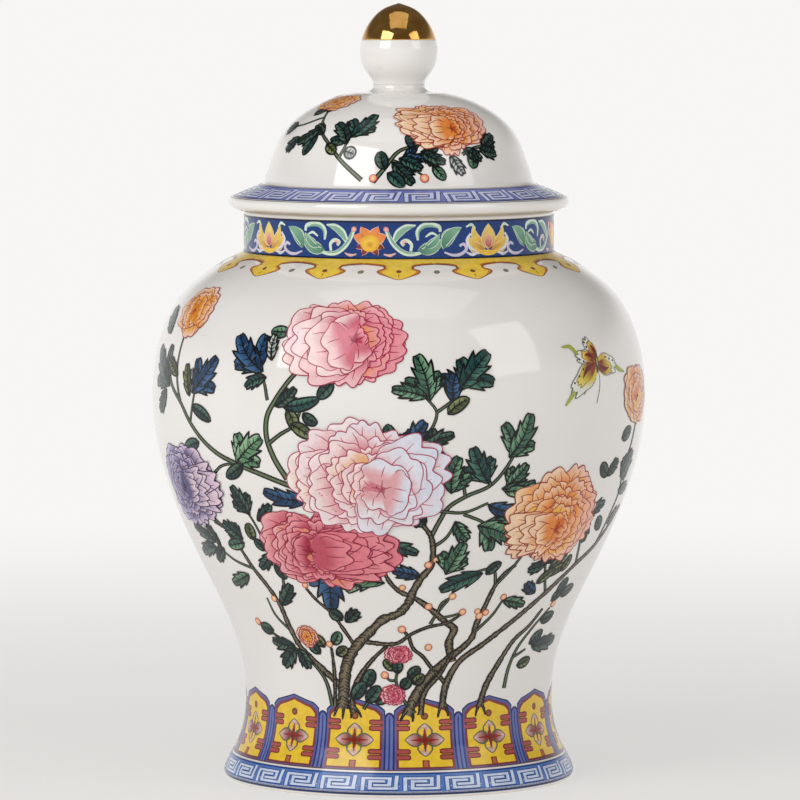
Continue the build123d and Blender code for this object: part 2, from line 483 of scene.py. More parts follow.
def turned_piece(name, node, body, material, sides, step, bare=None):
    """The glazed skin of one turned CAD piece, closed and facing outwards; bare says what is unglazed."""
    chain = section(node)
    line = cornered(chain, step)
    mesh = bpy.data.meshes.new(name)
    spots = [(p.real * MM, 0, p.imag * MM) for p in line]
    mesh.from_pydata(spots, [(i, i + 1) for i in range(len(line) - 1)], [])
    piece = taken_through(TURNING, mesh, name, Sides=sides, Material=material)
    edited = bmesh.new()
    edited.from_mesh(piece.data)
    bmesh.ops.recalc_face_normals(edited, faces=edited.faces)
    edited.to_mesh(piece.data)
    edited.free()
    piece.data.materials.clear()
    piece.data.materials.append(material)
    piece.data.materials.append(BISCUIT)
    for face in piece.data.polygons:
        radius = math.hypot(face.center.x, face.center.y) / MM
        face.material_index = int(bare is not None and bare(radius, face.center.z / MM, face.normal.z))
    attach(piece, body)
    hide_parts(node)
    return chain


def painted(painting, name, body, repeats=None, start=0.0):
    """A painting as a piece of the object, repeated round the axis if it is one unit of a border."""
    mesh = painting.mesh(name)
    if repeats:
        piece = taken_through(REPEATING, mesh, name,
                              Repeats=repeats, Start=math.radians(start), Material=ENAMEL)
    else:
        mesh.materials.append(ENAMEL)
        piece = bpy.data.objects.new(name, mesh)
        bpy.context.scene.collection.objects.link(piece)
    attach(piece, body)


TURNING = turning_tree()
REPEATING = repeating_tree()


def bare_on_jar(radius, height, facing):
    """The ring it stands on and the rim where the lid sits."""
    return (height < 0.3 and facing < -0.7) or (height > 308.2 and facing > 0.7)


def bare_on_lid(radius, height, facing):
    """The seat under the flange."""
    return facing < -0.7 and radius > 75.6 and 308 < height < 309.5


jar_chain = turned_piece("jar_glaze", "jar_body", "jar", GLAZE, SIDES, 2.4, bare_on_jar)
lid_chain = turned_piece("lid_glaze", "lid", "lid", GLAZE, SIDES, 2.0, bare_on_lid)
turned_piece("knob_glaze", "lid_knob", "lid", GLAZE, KNOB_SIDES, 0.9)
turned_piece("knob_gold", "knob_gilding", "lid", GOLD, KNOB_SIDES, 0.8)

# The painted walls: from the edge of the foot to the rim, and from the edge of the lid to its knob.
JAR_WALL = Wall(jar_chain, 94.5, NECK_RADIUS + 308.5j)
LID_WALL = Wall(lid_chain, 90.8 + 309.9j, 14 + 376j)

# ---------------------------------------------------------------- borders

FRET_HOOKS = (
    ((0.105, 0.05), (0.105, 0.73), (0.733, 0.73), (0.733, 0.35), (0.357, 0.35)),
    ((0.892, 0.88), (0.892, 0.17), (0.278, 0.17), (0.278, 0.56), (0.625, 0.56)),
)


def fret(wall, name, body, low, high, repeats, start, ground, line, edge, across, upright):
    """A key fret: two hooks in each unit, light on a coloured ground, between two dark lines."""
    painting = Painting(wall)
    unit = 360 / repeats
    width = math.radians(unit) * wall.radius((low + high) / 2)
    angles = np.linspace(0, unit, 9)[None, :]
    painting.net(angles, np.linspace(low, high, 6)[:, None], 0, ground)
    for up, thick in ((low, 0.55), (high, 0.45)):
        painting.net(angles, np.array([[up - thick], [up + thick]]), 4, edge)
    for hook in FRET_HOOKS:
        corners = np.array([u * width + 1j * (low + v * (high - low)) for u, v in hook])
        path, along = divided(corners)
        sides = offsets(path)
        for level, colour, more in ((1, edge, 0.9), (3, line, 0.0)):
            half = (upright + more) / 2 * sides.real + 1j * (across + more) / 2 * sides.imag
            painting.sheet(0, np.stack([path - half, path, path + half], 1), level, colour)
    painted(painting, name, body, repeats, start)


def ring_lines(painting, lines):
    """Plain lines right round the wall: (up, width, level, colour)."""
    for up, width, level, colour in lines:
        painting.net(np.linspace(0, 360, 181)[None, :], np.array([[up - width / 2], [up + width / 2]]),
                     level, colour)


def foot_panels():
    """Yellow arched panels with a rust border round the foot, blue strips between them."""
    painting = Painting(JAR_WALL)
    share = np.linspace(-1, 1, 19)
    shoulder = 2.3 * np.clip((1 - np.abs(share)) / 0.2, 0, 1) ** 0.8
    crown = 47.2 + shoulder + 4.3 * (1 - np.abs(share)) ** 1.2
    for level, half, base, drop, colour in (
            (-1, 11.3, PANEL_FOOT, -0.3, "262250"), (0, 10.95, PANEL_FOOT, 0.3, "5A66A6"),
            (1, 10.3, 15.9, 1.5, "843C46"), (2, 9.4, 17.0, 2.9, "F2CA3C")):
        ups = base + (crown - drop - base)[None, :] * np.linspace(0, 1, 20)[:, None]
        painting.net((share * half)[None, :], ups, level, colour)
    strip = np.linspace(-1, 1, 5)
    for half, top, level, colour in (
            (1.9, 46.6, 0, "2F3470"), (1.25, 45.4, 1, "6B79B8"), (0.3, 44.6, 2, "3B4488")):
        ups = PANEL_FOOT + (top - 2.0 * strip ** 2 - PANEL_FOOT)[None, :] * np.linspace(0, 1, 20)[:, None]
        painting.net((180 / FOOT_PANELS + strip * half)[None, :], ups, level, colour)
    for side in (-1, 1):
        for low in (22.4, 38.1):
            for up in (low - 0.1, low + 3.1):
                bar = side * np.array([14.9, 9.0, 7.8]) + 1j * up
                stroke(painting, 0, bar, [3.0, 3.0, 1.8], 3, "6A2A2C")
                stroke(painting, 0, bar + side * 0.5, [1.9, 1.9, 0.9], 5, "B25450")
    rim = evened(smooth([0.3, 2.6 + 3.1j, 5.6 + 4.1j, 8.4 + 2.5j, 10.6], 1.2), 10)
    shades = blend("8E2418", "F3D3D0", np.linspace(-0.45, 1.0, 10))
    for turn in range(4):
        upper = stretched(rim * 1j ** turn)
        lower = stretched(rim.conj() * 1j ** turn)
        middle = (upper + lower) / 2
        painting.sheet(0, np.stack([upper, middle, lower], 1), 3, np.repeat(shades[:, None], 3, 1))
        for side in (upper, lower):
            stroke(painting, 0, side, [0.4, 0.8, 0.5], 4, "55664E")
        stroke(painting, 0, stretched(np.array([1.0, 4.4, 7.4]) * 1j ** turn), [1.6, 0.4], 4, "8E2418")
    disc(painting, 0, 31.7j, 2.0, 1.8, 5, "6E1A14", "8E2A1C", 12)
    disc(painting, 0, 44.4j, 2.1, 2.0, 3, "A9663C", "6A3A26", 12)
    for half, low, high, level, colour in ((1.25, 16.4, 20.8, 3, "84402C"), (0.7, 17.0, 20.2, 4, "BF6A4C")):
        ups = np.array([low, (low + high) / 2, high])
        painting.net(np.array([[-half, 0, half]]), ups[:, None], level, colour)
    painted(painting, "foot_panels", "jar", repeats=FOOT_PANELS, start=9.46)


def stretched(points):
    """The panel's flower, drawn round zero, set in the middle of the panel and a little flattened."""
    return points.real + 1j * (points.imag * 0.84 + 31.7)


def shoulder_collar():
    """A yellow collar under the neck with pointed lappets and dots."""
    painting = Painting(JAR_WALL)
    ups = np.array([298.3, 299.1, 300.2, 302, 304, 305.3, 306.3, 307.6, 309, 310.4, 311.6, 312.6, 313.2])
    halves = np.array([0.05, 1.5, 2.6, 4.4, 6.2, 6.7, 6.5, 5.2, 4.5, 4.7, 6.2, 9.0, 12.0])
    share = np.linspace(-1, 1, 7)
    painting.net(halves[:, None] * share, ups[:, None], 1, "F0CC48")
    painting.net(np.linspace(-12, 12, 9)[None, :], np.array([[313.2], [316], [319]]), 1, "F0CC48")
    for side in (-1, 1):
        rim = np.radians(side * halves) * JAR_WALL.radius(ups) + 1j * ups
        stroke(painting, 0, smooth(rim[:10], 1.6), [0.5, 0.9, 1.2], 2, "9A5A2E")
        stroke(painting, 0, smooth(rim[8:], 1.6), [1.3, 1.3], 3, "8A4A2A")
        inner = smooth(rim[3:9] - side * 1.3, 1.6)
        stroke(painting, 0, inner, [0.2, 1.3, 1.5, 0.4], 2, "D48B3A")
        arch = np.radians(side * (halves[9:] - 0.6)) * JAR_WALL.radius(ups[9:]) + 1j * (ups[9:] + 1.0)
        stroke(painting, 0, smooth(arch, 1.6), [0.9, 0.9], 2, "C98038")
    disc(painting, 0, 305.6j, 1.5, 1.4, 4, "8A4A34", "6E3A28", 10)
    dot = np.radians(12) * JAR_WALL.radius(305) + 305j
    disc(painting, 0, dot, 1.7, 1.6, 2, "8F8A7C", "6D685C", 10)
    stroke(painting, 0, np.array([302.9j, 301.2j, 299.9j]), [0.6, 0.3], 4, "9A5A2E")
    painted(painting, "shoulder_collar", "jar", repeats=15)


def scroll_petal(painting, anchor, base, tip, width, shades, level, bend=0.0):
    """A pointed petal or small leaf in two shades, with a pale rim."""
    rows = np.linspace(0, 1, 9)
    axis = tip - base
    spine = base + axis * rows + 1j * axis * bend * np.sin(np.pi * rows)
    swell = np.sin(np.pi * rows ** 0.8) ** 0.8
    side = offsets(spine) * swell * width / 2
    rim = side * (1 + 0.7 / max(width, 2.5)) + axis / abs(axis) * 0.5 * (rows - 0.5)
    across = np.linspace(0, 1, 3)
    left, right = (spine - rim)[:, None], (spine + rim)[:, None]
    painting.sheet(anchor, left * (1 - across) + right * across, level, shades[2])
    colours = blend(shades[0], shades[1], rows)
    points = np.stack([spine - side, spine - side / 2, spine, spine + side / 2, spine + side], 1)
    painting.sheet(anchor, points, level + 1, np.repeat(colours[:, None], 5, 1))


def neck_scroll():
    """A blue band round the neck with two kinds of lotus among scrolling leaves."""
    painting = Painting(JAR_WALL)
    base = NECK_FOOT
    mm = math.radians(1) * NECK_RADIUS
    angles = np.linspace(-22.5, 67.5, 46)[None, :]
    painting.net(angles, np.linspace(base, NECK_TOP, 10)[:, None], 0, "0A387E")
    for up, thick in ((base, 0.6), (NECK_TOP, 0.5)):
        painting.net(angles, np.array([[up - thick], [up + thick]]), 8, "07183C")
    middle = 1j * (base + 8.8)
    for angle in (203, 238, 302, 337):
        way = np.exp(1j * math.radians(angle))
        scroll_petal(painting, 0, middle + way * 2.5, middle + way * 8.2, 3.2,
                     ("B04A34", "6E2438", "F0B89C"), 1)
    for angle, tip, width in ((158, 9.6, 5.4), (22, 9.6, 5.4), (120, 9.4, 5.2), (60, 9.4, 5.2)):
        way = np.exp(1j * math.radians(angle))
        scroll_petal(painting, 0, middle + way * 1.2, middle + way * tip, width,
                     ("F0A03C", "EE8458", "FBDCD0"), 3)
    disc(painting, 0, middle - 0.6j, 5.2, 4.6, 6, "F6DC5A", "F0B034", 16)
    disc(painting, 0, middle - 1.4j, 2.4, 2.0, 7, "D08A28", "F0C040", 10)
    for side in (-1, 1):
        half_scroll(painting, base, side * mm)
        crown = 45 * mm + 1j * base
        for foot, tip, width, shades, level, bend in (
                (1.0 + 6.0j, 9.6 + 17.2j, 4.6, ("E0A040", "F6DC70", "FDF6D6"), 3, -0.20),
                (2.0 + 4.6j, 12.6 + 12.0j, 5.6, ("C98A3A", "F3D46A", "FBEFC8"), 4, -0.22)):
            foot, tip = (complex(side * p.real, p.imag) for p in (foot, tip))
            scroll_petal(painting, 0, crown + foot, crown + tip, width, shades, level, side * bend)
        for curl in ((11 + 13j, 13.4 + 9.5j, 11.2 + 5.6j, 7 + 3.6j), (6.0 + 3.4j, 10 + 1.8j, 13.6 + 3.2j)):
            curl = np.array([complex(side * p.real, p.imag) for p in curl])
            stroke(painting, 0, smooth(crown + curl, 1.5), [1.3, 1.6, 0.8], 6, "DDE2F2")
    scroll_petal(painting, 0, crown + 4.6j, crown + 18.0j, 8.6, ("D9985C", "F6E07A", "FCF2D0"), 6)
    scroll_petal(painting, 0, crown + 5.4j, crown + 12.6j, 4.6, ("B84A50", "F0B4A4", "F6DDA0"), 8)
    sepal = crown + np.array([-8.6 + 5.4j, -4 + 2.9j, 2.7j, 4 + 2.9j, 8.6 + 5.4j])
    stroke(painting, 0, smooth(sepal, 2), [1.0, 3.2, 1.0], 8, "F2C84A")
    painted(painting, "neck_scroll", "jar", repeats=4, start=-10.5)


def half_scroll(painting, base, mm):
    """Vines, leaves and curls between one lotus and the next; mm is the width of a degree, and its way."""
    green, pale, rose = "86B49C", "D9ECDC", "EDBDB6"
    lines = (               # degrees and mm up, widths, level, colour
        (((6.0, 15.2), (7.4, 10.6), (9.6, 6.2), (12.8, 3.0), (16.6, 2.6), (19.4, 3.6)),
         (2.0, 2.6, 2.4, 1.4), 2, pale),
        (((6.6, 14.6), (7.6, 10.8), (9.8, 6.6), (12.8, 3.5), (16.4, 3.0)),
         (0.9, 1.3, 1.1, 0.5), 3, green),
        (((8.6, 9.0), (10.4, 13.4), (13.0, 16.4), (16.6, 17.8)), (2.2, 4.4, 3.6, 0.6), 2, pale),
        (((9.0, 9.6), (10.8, 13.4), (13.2, 16.0), (16.0, 17.2)), (1.2, 3.0, 2.2, 0.3), 3, green),
        (((14.8, 4.0), (15.0, 7.8), (13.2, 9.8), (11.6, 8.6), (12.4, 7.0)),
         (1.4, 1.8, 2.0, 1.6), 5, pale),
        (((13.4, 9.2), (12.0, 8.8), (12.4, 7.4)), (1.2, 1.4, 0.8), 6, rose),
        (((17.4, 9.8), (17.2, 14.4), (19.0, 17.4), (22.4, 18.0), (25.4, 16.6), (25.6, 14.2)),
         (1.0, 2.4, 2.6, 1.4), 2, pale),
        (((17.7, 11.0), (17.8, 14.4), (19.4, 16.8), (22.2, 17.3), (24.8, 16.2)),
         (0.5, 1.3, 1.3, 0.5), 3, green),
        (((20.2, 11.6), (22.6, 13.6), (24.4, 12.4)), (0.8, 1.4, 0.8), 5, pale),
        (((27.2, 3.4), (30.4, 1.8), (33.8, 2.4), (35.8, 5.2), (34.6, 7.6), (33.0, 6.6)),
         (0.8, 1.6, 1.8, 1.4), 3, "D3CBE4"),
        (((35.6, 16.6), (37.8, 17.8), (39.4, 15.6)), (0.8, 1.6, 0.8), 3, pale),
        (((5.0, 2.4), (7.4, 1.8), (9.4, 3.0)), (0.6, 1.5, 0.6), 2, rose),
    )
    for places, widths, level, colour in lines:
        path = np.array([angle * mm + 1j * (base + rise) for angle, rise in places])
        stroke(painting, 0, smooth(path, 1.3), widths, level, colour)
    disc(painting, 0, 5.9 * mm + 1j * (base + 15.6), 1.5, 1.5, 4, "F6D0C8", "E58A8A", 10)
    for foot, tip, width, level, bend in (
            ((17.4, 4.4), (27.0, 10.4), 6.4, 3, -0.10), ((20.0, 6.0), (25.6, 13.2), 4.0, 5, -0.1),
            ((26.8, 5.0), (33.8, 16.2), 6.2, 5, 0.14), ((27.2, 8.6), (29.2, 15.8), 3.6, 3, 0.1)):
        foot, tip = (angle * mm + 1j * (base + rise) for angle, rise in (foot, tip))
        scroll_petal(painting, 0, foot, tip, width, ("4E8470", "8ABB9A", "E2F0DE"), level, bend * np.sign(mm))
        rib = np.array([foot * 0.85 + tip * 0.15, foot * 0.15 + tip * 0.85])
        stroke(painting, 0, rib, [0.5, 0.3], level + 2, pale)


def plain_rings():
    """The plain lines at the foot and under the neck's white edge."""
    painting = Painting(JAR_WALL)
    ring_lines(painting, ((2.0, 1.3, 0, "2C3B66"), (15.2, 0.7, 5, "6A4A4A"), (NECK_FOOT, 0.9, 9, "0A1A40")))
    painted(painting, "jar_rings", "jar")
    painting = Painting(LID_WALL)
    ring_lines(painting, ((6.6, 0.7, 0, "5A6070"), (24.4, 0.6, 0, "5A6070")))
    painted(painting, "lid_rings", "lid")


fret(JAR_WALL, "foot_fret", "jar", low=3.4, high=13.4, repeats=26, start=0.65,
     ground="5880C6", line="D4E0F8", edge="28448A", across=1.25, upright=2.0)
fret(LID_WALL, "lid_fret", "lid", low=8.2, high=23.2, repeats=24, start=1.2,
     ground="7480CC", line="D2DAF8", edge="343A70", across=1.6, upright=2.1)
foot_panels()
shoulder_collar()
neck_scroll()
plain_rings()

# ---------------------------------------------------------------- plants

INK = "0E1413"
LEAF_TINTS = {          # pale edge, deep middle, and the same for the shaded half
    "green": ("82AE8A", "3C684C", "4E785F", "1C4038"),
    "light": ("A0C49C", "5C8C62", "70A078", "326048"),
    "teal": ("50806E", "1C4642", "285654", "0E2A2E"),
    "blue": ("44709C", "1A3E68", "284C78", "0C1E3E"),
    "olive": ("8C9662", "4E5832", "5E6A3E", "323820"),
    "dark": ("56776A", "22402F", "2B4A48", "0E1F22"),
    # The grey tint: a dark leaf painted pale grey as if a lamp's glare lay over it, a painted reflection.
    "glare_washed": ("D6D8D2", "A2AAA2", "B8BEB8", "7E8A86"),
}


def leaflet(painting, anchor, start, end, width, tint, level, rng, bend, teeth=0):
    """One pointed leaf: two unlike halves, dark rims that may be toothed, a mid-rib and slanting veins."""
    axis = end - start
    rows = 6 * teeth if teeth else max(8, round(abs(axis) / 1.6))
    t = np.linspace(0, 1, rows + 1)
    bite = np.zeros(rows + 1)
    if teeth:
        tooth = np.array([0.04, 0.26, 0.48, 0.70, 0.88, 0.97])
        t[1:-1] = (np.arange(teeth)[:, None] + tooth).ravel()[1:] / teeth
        bite = (t * teeth % 1) ** 1.5
    spine = start + axis * t + 1j * axis * bend * np.sin(np.pi * t)
    swell = t ** 0.5 * (1 - t) ** 0.62 * (0.60 + 0.40 * bite if teeth else 1)
    swell = swell / swell.max()
    lean = axis / abs(axis) * swell * width * (0.10 + 0.24 * bite)
    side = offsets(spine) * swell * width / 2
    codes = LEAF_TINTS[tint]
    flip = rng.choice((-1, 1))
    share = np.array([0.0, 0.5, 1.0])
    for way, pale, deep in ((flip, codes[0], codes[1]), (-flip, codes[2], codes[3])):
        rim = way * side + lean * (t < 0.97)
        shade = 0.05 + 0.8 * share[None, :] ** 1.5 + 0.25 * np.sin(t * np.pi)[:, None]
        shade = shade + rng.uniform(-0.15, 0.15, (rows + 1, 1))
        painting.sheet(anchor, spine[:, None] + rim[:, None] * share, level, blend(deep, pale, shade))
        stroke(painting, anchor, spine + rim, [0.75, 1.2, 0.75], level + 1, INK)
        for k in range(1, rows - 1, 2):
            vein = np.array([spine[k], spine[k] * 0.35 + spine[k + 1] * 0.65 + rim[k + 1] * 0.72])
            stroke(painting, anchor, vein, [0.7, 0.35], level + 1, INK)
    stroke(painting, anchor, spine[:-1], [1.2, 0.6], level + 1, INK)


def leaf(painting, base, tip, width, tint, lobes, level, rng):
    """A leaf from its base to its tip, by itself or with two side lobes."""
    anchor = (base[0] + tip[0]) / 2
    start, end = painting.flat(anchor, [base, tip])
    axis = end - start
    bend = rng.uniform(-0.10, 0.10)
    if not lobes:
        leaflet(painting, anchor, start, end, width * 1.1, tint, level, rng, bend, 3 if width > 6.5 else 0)
        return
    for side in (-1, 1):
        root = start + axis * rng.uniform(0.03, 0.10)
        reach = axis * rng.uniform(0.56, 0.68) * np.exp(1j * side * rng.uniform(0.65, 0.85))
        leaflet(painting, anchor, root, root + reach, width * 0.78, tint, level, rng, side * -0.12, 2)
    leaflet(painting, anchor, start, end, width * 0.94, tint, level + 2, rng, bend, 3)


def leaves(painting, rows, level, seed):
    """Leaves from rows of (base angle, base up, tip angle, tip up, width, tint, lobes)."""
    rng = np.random.default_rng(seed)
    for number, (angle, up, tip_angle, tip_up, width, tint, lobes) in enumerate(rows):
        leaf(painting, (angle, up), (tip_angle, tip_up), width, tint, lobes, level + 4 * (number % 3), rng)


def petal(painting, anchor, foot, tip, width, shades, line, level, rng, folds, bumps=3):
    """A broad petal with a scalloped edge, shaded from foot to edge, outlined and folded."""
    axis = tip - foot
    u = np.linspace(-1, 1, 21)[None, :]
    v = np.linspace(0, 1, 7)[:, None]
    wave = rng.uniform(0, 6)
    scallop = np.abs(np.sin(np.pi * bumps * (u + 1) / 2 + rng.uniform(-0.4, 0.4)))
    edge = 0.88 - 0.08 * u ** 2 - 0.20 * u ** 6 + rng.uniform(0.09, 0.14) * scallop
    edge = edge + 0.03 * np.cos(2 * np.pi * u + wave)
    swell = np.sin(np.pi * (0.14 + 0.55 * v))
    points = foot + axis * v * edge + 1j * axis / abs(axis) * u * width / 2 * swell
    share = np.clip((v - 0.40) / 0.60 + 0.14 * (scallop - 0.5) * v, 0, 1)
    colours = np.where(share[..., None] < 0.5, blend(shades[0], shades[1], share * 2),
                       blend(shades[1], shades[2], share * 2 - 1))
    painting.sheet(anchor, points, level, colours)
    rim = np.concatenate([points[2:, 0], points[-1, 1:-1], points[:1:-1, -1]])
    stroke(painting, anchor, rim, [0.4, 0.7, 0.4], level + 1, line)
    for fold in range(folds):
        column = int(round((fold + 1) * 20 / (folds + 1) + rng.uniform(-1, 1)))
        stroke(painting, anchor, points[2:6, column], [0.3, 0.6, 0.2], level + 1, line)


# Petal edges blend from the pale edge on the left to the other edge colour on the right. This is partly the
# enamels' own colours and partly painted light: the left side is painted paler, as if washed by glare from
# the lamp on the left.
PEONIES = {             # deep heart, middle, pale edge towards the left, edge towards the right, lines, accents
    "pink": ("C23E5C", "E88E9C", "F8E2E0", "EDA0A8", "A82C4C", "F0A050"),
    "pale": ("D8808C", "F0C8C8", "F8EEEC", "DDE4F2", "B04E68", "F0B866"),
    "rose": ("A82A44", "D8687A", "F2B4B6", "E88490", "8E1C3A", "EE9A6A"),
    "orange": ("DC6A26", "F2A450", "F8DCBC", "F2C8C4", "A2402E", "F6C63E"),
    "purple": ("241A48", "5E5096", "CFC6E8", "EED2DC", "34194A", "A77FB0"),
    "small": ("E0841E", "F2B24A", "F8E0D4", "F4CCCC", "A84A44", "F6C63E"),
}
# Rings of petals: how far out they reach, how far out they start, and how many there are.
RINGS = ((1.0, 0.40, 12), (0.86, 0.34, 12), (0.72, 0.26, 10),
         (0.58, 0.18, 10), (0.44, 0.10, 8), (0.29, 0.01, 6))
SMALL_RINGS = ((1.0, 0.3, 8), (0.74, 0.18, 6), (0.46, 0.04, 4))
OPENINGS = ((1.0, 5), (0.74, 4), (0.48, 3))     # how far the broad petals reach, and how many there are


def oval(size, way):
    """From the middle of an oval to its edge, in the direction way."""
    return np.cos(way) * size[0] / 2 + 1j * np.sin(way) * size[1] / 2


def alternate(number):
    """Every other number first, then the ones between, so that petals lie over both their neighbours."""
    return [*range(0, number, 2), *range(1, number, 2)]


def peony(painting, spot, size, name, level, seed, heart, opening, rings=RINGS):
    """A full peony: rings of petals round a heart, and broader ones over them on the side where it opens."""
    rng = np.random.default_rng(seed)
    deep, middle, pale, far, line, accent = PEONIES[name]
    anchor, centre = spot[0], 1j * spot[1]
    for ring, (reach, root, number) in enumerate(rings):
        start = rng.uniform(0, 6)
        around = centre + heart * (1 - reach)
        for k in alternate(number):
            way = start + 2 * np.pi * (k + rng.uniform(-0.25, 0.25)) / number
            ray = oval(size, way)
            # Paler on the left and the right-hand edge colour on the right: partly painted glare from the
            # lamp on the left.
            rim = blend(pale, far, 0.5 + 0.6 * np.cos(way) + rng.uniform(-0.2, 0.2))
            rim = blend(rim, middle, 0.10 * ring)
            foot_shade = blend(deep, middle, max(0, rng.uniform(0.2, 0.6) - 0.15 * ring))
            shades = (foot_shade, blend(middle, rim, rng.uniform(0.0, 0.4)), rim)
            if rng.uniform() < 0.16:
                shades = (blend(shades[0], accent, 0.8), blend(shades[1], accent, 0.4), rim)
            wide = 8.8 * abs(ray) * reach / number * rng.uniform(0.85, 1.2)
            petal(painting, anchor, around + ray * root, around + ray * reach * rng.uniform(0.88, 1.12), wide,
                  shades, line, level + 4 * ring + 2 * (k % 2), rng, 3 if ring < 3 else 2, rng.integers(2, 4))
    level = level + 4 * len(rings) + 3
    core = centre + heart
    for reach, number in OPENINGS if opening else ():
        for k in alternate(number):
            share = 2 * (k + rng.uniform(-0.2, 0.2)) / (number - 1) - 1
            way = math.radians(opening[0] + opening[1] * share)
            ray = (oval(size, way) - heart) * reach * rng.uniform(0.92, 1.06)
            # The same left-to-right blend of edge colours, partly painted glare from the lamp on the left.
            rim = blend(pale, far, 0.5 + 0.5 * np.cos(way) + rng.uniform(-0.2, 0.2))
            shades = (blend(deep, middle, 0.5), blend(middle, rim, rng.uniform(0.4, 0.8)), rim)
            wide = 1.5 * abs(ray) * math.radians(2 * opening[1]) / (number - 1)
            petal(painting, anchor, core + ray * 0.12, core + ray, wide, shades, line,
                  level + 3 * (k % 2), rng, 2, 2)
        level += 6
    for k in range(5):
        way = np.exp(1j * (k * 1.25 + rng.uniform(0, 0.6)))
        stroke(painting, anchor, np.array([core, core + way * min(size) * 0.09]), [0.8, 0.3], level, line)


def bud(painting, angle, up, radius, code, level):
    """A round bud with a dark lower edge."""
    disc(painting, angle, 1j * up, radius + 0.35, radius + 0.35, level, "8A3A30", "8A3A30", 12)
    disc(painting, angle, 1j * (up + 0.1), radius, radius, level + 1, "FBE0C0", code, 12)


def branch(painting, points, thick, thin, level, bark, rng):
    """A branch or stem through (angle, up) places: dark edges, a lit middle and, on bark, hatching."""
    anchor = sum(angle for angle, up in points) / len(points)
    path = smooth(painting.flat(anchor, points), 2.0)
    widths = np.linspace(thick, thin, len(path))
    if bark:
        widths = widths * (1 + rng.uniform(-0.14, 0.2, len(path)))
    stroke(painting, anchor, path, widths + 0.3, level, "18120E" if bark else "141C16")
    tones = ("4A4036", "84775F", "564A3C") if bark else ("3E4A38", "76845F", "303C2E")
    tones = np.array([enamel(code) for code in tones])
    stroke(painting, anchor, path, np.maximum(widths - 1.2, widths * 0.36), level + 1, tones)
    if not bark:
        return
    sides = offsets(path)
    for k in range(1, len(path) - 1):
        for side in (-1, 1):
            if rng.uniform() < 0.85:
                edge = path[k] + side * sides[k] * widths[k] * 0.46
                inner = path[k] + side * sides[k] * widths[k] * rng.uniform(-0.1, 0.2)
                inner = inner + (path[k + 1] - path[k]) * rng.uniform(0.5, 1.3)
                stroke(painting, anchor, np.array([edge, inner]), [0.9, 0.3], level + 2, "18120E")


def branches(painting, rows, level, seed):
    """Branches from rows of (thick, thin, bark, places); each row lies over the one before."""
    rng = np.random.default_rng(seed)
    for number, (thick, thin, bark, points) in enumerate(rows):
        branch(painting, points, thick, thin, level + 3 * (number % 3), bark, rng)


def butterfly(painting, angle, up, level):
    """A yellow and orange butterfly with pale dotted wing edges, tails and long feelers."""
    rng = np.random.default_rng(3)
    body = 1j * up
    pale, line = "E9EBE2", "6E7268"
    for foot, tip, width, heart, tint, edge in (
            (-1 + 1j, -16 + 4j, 9, 0.6, "E8A23C", 1), (2j, -7 + 13j, 8, 0.6, "E8983C", 1),
            (-1 - 1j, -22 - 16j, 13, 0.62, "D8C23C", -1), (1 - 1j, 19 - 3j, 12, 0.6, "D9B63C", 1)):
        axis = tip / abs(tip)
        lower = 3 if abs(tip) > 16 else 0
        petal(painting, angle, body + foot, body + tip, width, [tint, pale, pale], line,
              level + lower, rng, 0)
        inner = body + foot - 0.8j * axis * width * 0.12
        shades = ["8A3A1C", tint, "E9D878"]
        petal(painting, angle, inner, inner + tip * heart * 1.15, width * 0.66, shades, "A88A30",
              level + lower + 2, rng, 2)
        streak = inner + np.array([axis * 1.5, tip * 0.30 - 1j * axis * width * 0.10, tip * 0.52])
        stroke(painting, angle, smooth(streak, 2), [1.0, 2.6, 0.5], level + lower + 4, "6E1E14")
        for k in range(3):
            dot = body + foot + tip * (0.38 + 0.19 * k) + edge * 1j * axis * width * (0.34 - 0.04 * k)
            disc(painting, angle, dot, 0.75, 0.65, level + lower + 5, INK, "4A4A5A", 8)
    for tail in ((-20 - 15j, -24 - 19j, -27 - 22j), (18 - 3j, 24 - 6j, 28 - 7j),
                 (-15 + 5j, -19 + 9j, -25 + 9j)):
        stroke(painting, angle, smooth(body + np.array(tail), 1.5), [2.4, 2.2, 1.0], level + 8, "A8B04A")
    for feeler in ((1 - 4j, 1 - 12j, -2.4 - 22j), (-1 - 4j, -6 - 10j, -13 - 17j)):
        stroke(painting, angle, smooth(body + np.array(feeler), 1.5), [0.35, 0.5], level, "8A8A80")
    spine = body + np.array([-0.6 - 6j, 0.2 - 2j, 0.6 + 2j, 0.4 + 4j])
    stroke(painting, angle, spine, [1.0, 2.6, 2.6, 0.8], level + 9, "4A4636")
    stroke(painting, angle, spine[1:3], [0.9, 1.2], level + 10, "A9A878")

# ---------------------------------------------------------------- what grows on the jar and on the lid

